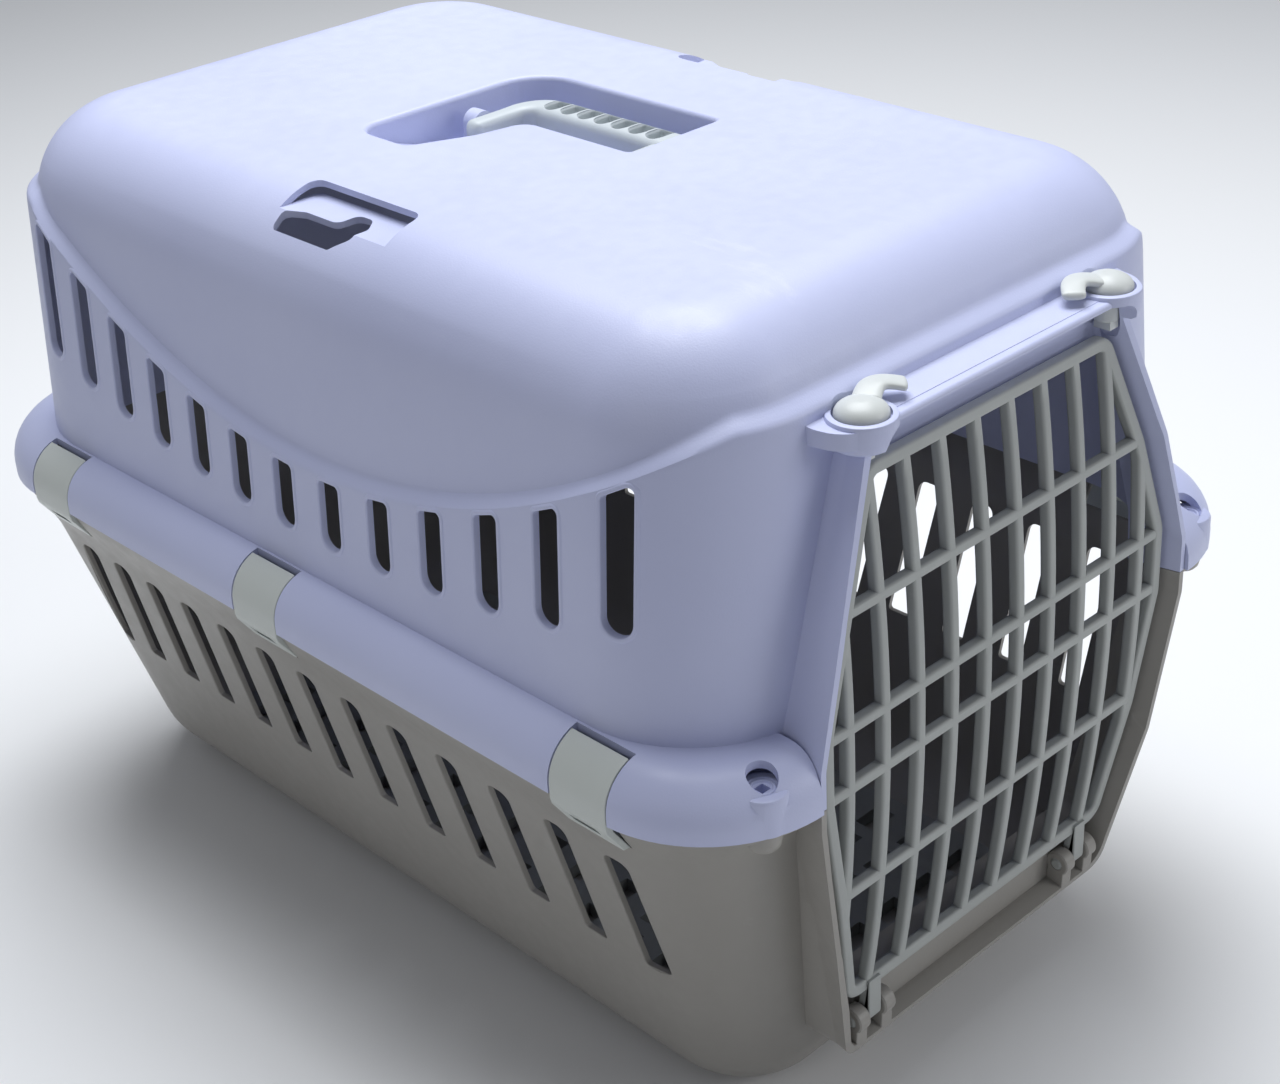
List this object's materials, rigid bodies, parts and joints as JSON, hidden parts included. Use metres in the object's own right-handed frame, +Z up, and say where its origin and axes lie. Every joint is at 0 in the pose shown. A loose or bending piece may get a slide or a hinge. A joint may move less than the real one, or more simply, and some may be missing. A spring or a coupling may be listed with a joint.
{
  "type": "pet transport carrier",
  "caption": "Small pet transport carrier of two moulded half shells with vent slots, a barred front door, swivel latches, side clips and a folding top handle.",
  "frame": {"origin": "on the ground under the middle of the carrier's length and width", "axes": "+Z up, -Y towards the door, +X to the right when facing the door"},
  "size_m": [0.31, 0.461, 0.32],
  "materials": {
    "lilac_plastic": "moulded, fine satin texture",
    "grey_plastic": "moulded, fine satin texture",
    "door_plastic": "moulded, satin",
    "handle_plastic": "moulded, semi-gloss off-white",
    "latch_plastic": "moulded, semi-gloss pale grey",
    "clip_plastic": "moulded, satin",
    "grate_plastic": "moulded, satin"
  },
  "bodies": {
    "shells": {"upper_shell": "lilac_plastic", "lower_shell": "grey_plastic", "corner_pins": "lilac_plastic", "floor_grate": "grate_plastic"},
    "door": {"door_grille": "door_plastic"},
    "handle": {"carry_handle": "handle_plastic"},
    "latch_left": {"door_latch_left": "latch_plastic"},
    "latch_right": {"door_latch_right": "latch_plastic"},
    "clip_left_rear": {"side_clip_left_rear": "clip_plastic"},
    "clip_left_middle": {"side_clip_left_middle": "clip_plastic"},
    "clip_left_front": {"side_clip_left_front": "clip_plastic"},
    "clip_right_rear": {"side_clip_right_rear": "clip_plastic"},
    "clip_right_middle": {"side_clip_right_middle": "clip_plastic"},
    "clip_right_front": {"side_clip_right_front": "clip_plastic"}
  },
  "joints": [
    {"name": "door_hinge", "type": "hinge", "parent": "shells", "child": "door", "pos_m": [0, -0.213, 0.046], "axis": [1, 0, 0], "range_deg": [0, 95]},
    {"name": "handle_pivot", "type": "hinge", "parent": "shells", "child": "handle", "pos_m": [0.0035, -0.003, 0.311], "axis": [0, -1, 0], "range_deg": [0, 88]},
    {"name": "latch_left_turn", "type": "hinge", "parent": "shells", "child": "latch_left", "pos_m": [-0.065, -0.213, 0.287], "axis": [0, 0, -1], "range_deg": [0, 90]},
    {"name": "latch_right_turn", "type": "hinge", "parent": "shells", "child": "latch_right", "pos_m": [0.065, -0.213, 0.287], "axis": [0, 0, 1], "range_deg": [0, 90]},
    {"name": "clip_left_rear_flex", "type": "hinge", "parent": "shells", "child": "clip_left_rear", "pos_m": [-0.1465, 0.158, 0.1505], "axis": [0, -1, 0], "range_deg": [0, 9], "stiffness_Nm_per_rad": 0.5},
    {"name": "clip_left_middle_flex", "type": "hinge", "parent": "shells", "child": "clip_left_middle", "pos_m": [-0.1465, 0.012, 0.1505], "axis": [0, -1, 0], "range_deg": [0, 9], "stiffness_Nm_per_rad": 0.5},
    {"name": "clip_left_front_flex", "type": "hinge", "parent": "shells", "child": "clip_left_front", "pos_m": [-0.1465, -0.168, 0.1505], "axis": [0, -1, 0], "range_deg": [0, 9], "stiffness_Nm_per_rad": 0.5},
    {"name": "clip_right_rear_flex", "type": "hinge", "parent": "shells", "child": "clip_right_rear", "pos_m": [0.1465, 0.158, 0.1505], "axis": [0, 1, 0], "range_deg": [0, 9], "stiffness_Nm_per_rad": 0.5},
    {"name": "clip_right_middle_flex", "type": "hinge", "parent": "shells", "child": "clip_right_middle", "pos_m": [0.1465, 0.012, 0.1505], "axis": [0, 1, 0], "range_deg": [0, 9], "stiffness_Nm_per_rad": 0.5},
    {"name": "clip_right_front_flex", "type": "hinge", "parent": "shells", "child": "clip_right_front", "pos_m": [0.1465, -0.168, 0.1505], "axis": [0, 1, 0], "range_deg": [0, 9], "stiffness_Nm_per_rad": 0.5}
  ]
}
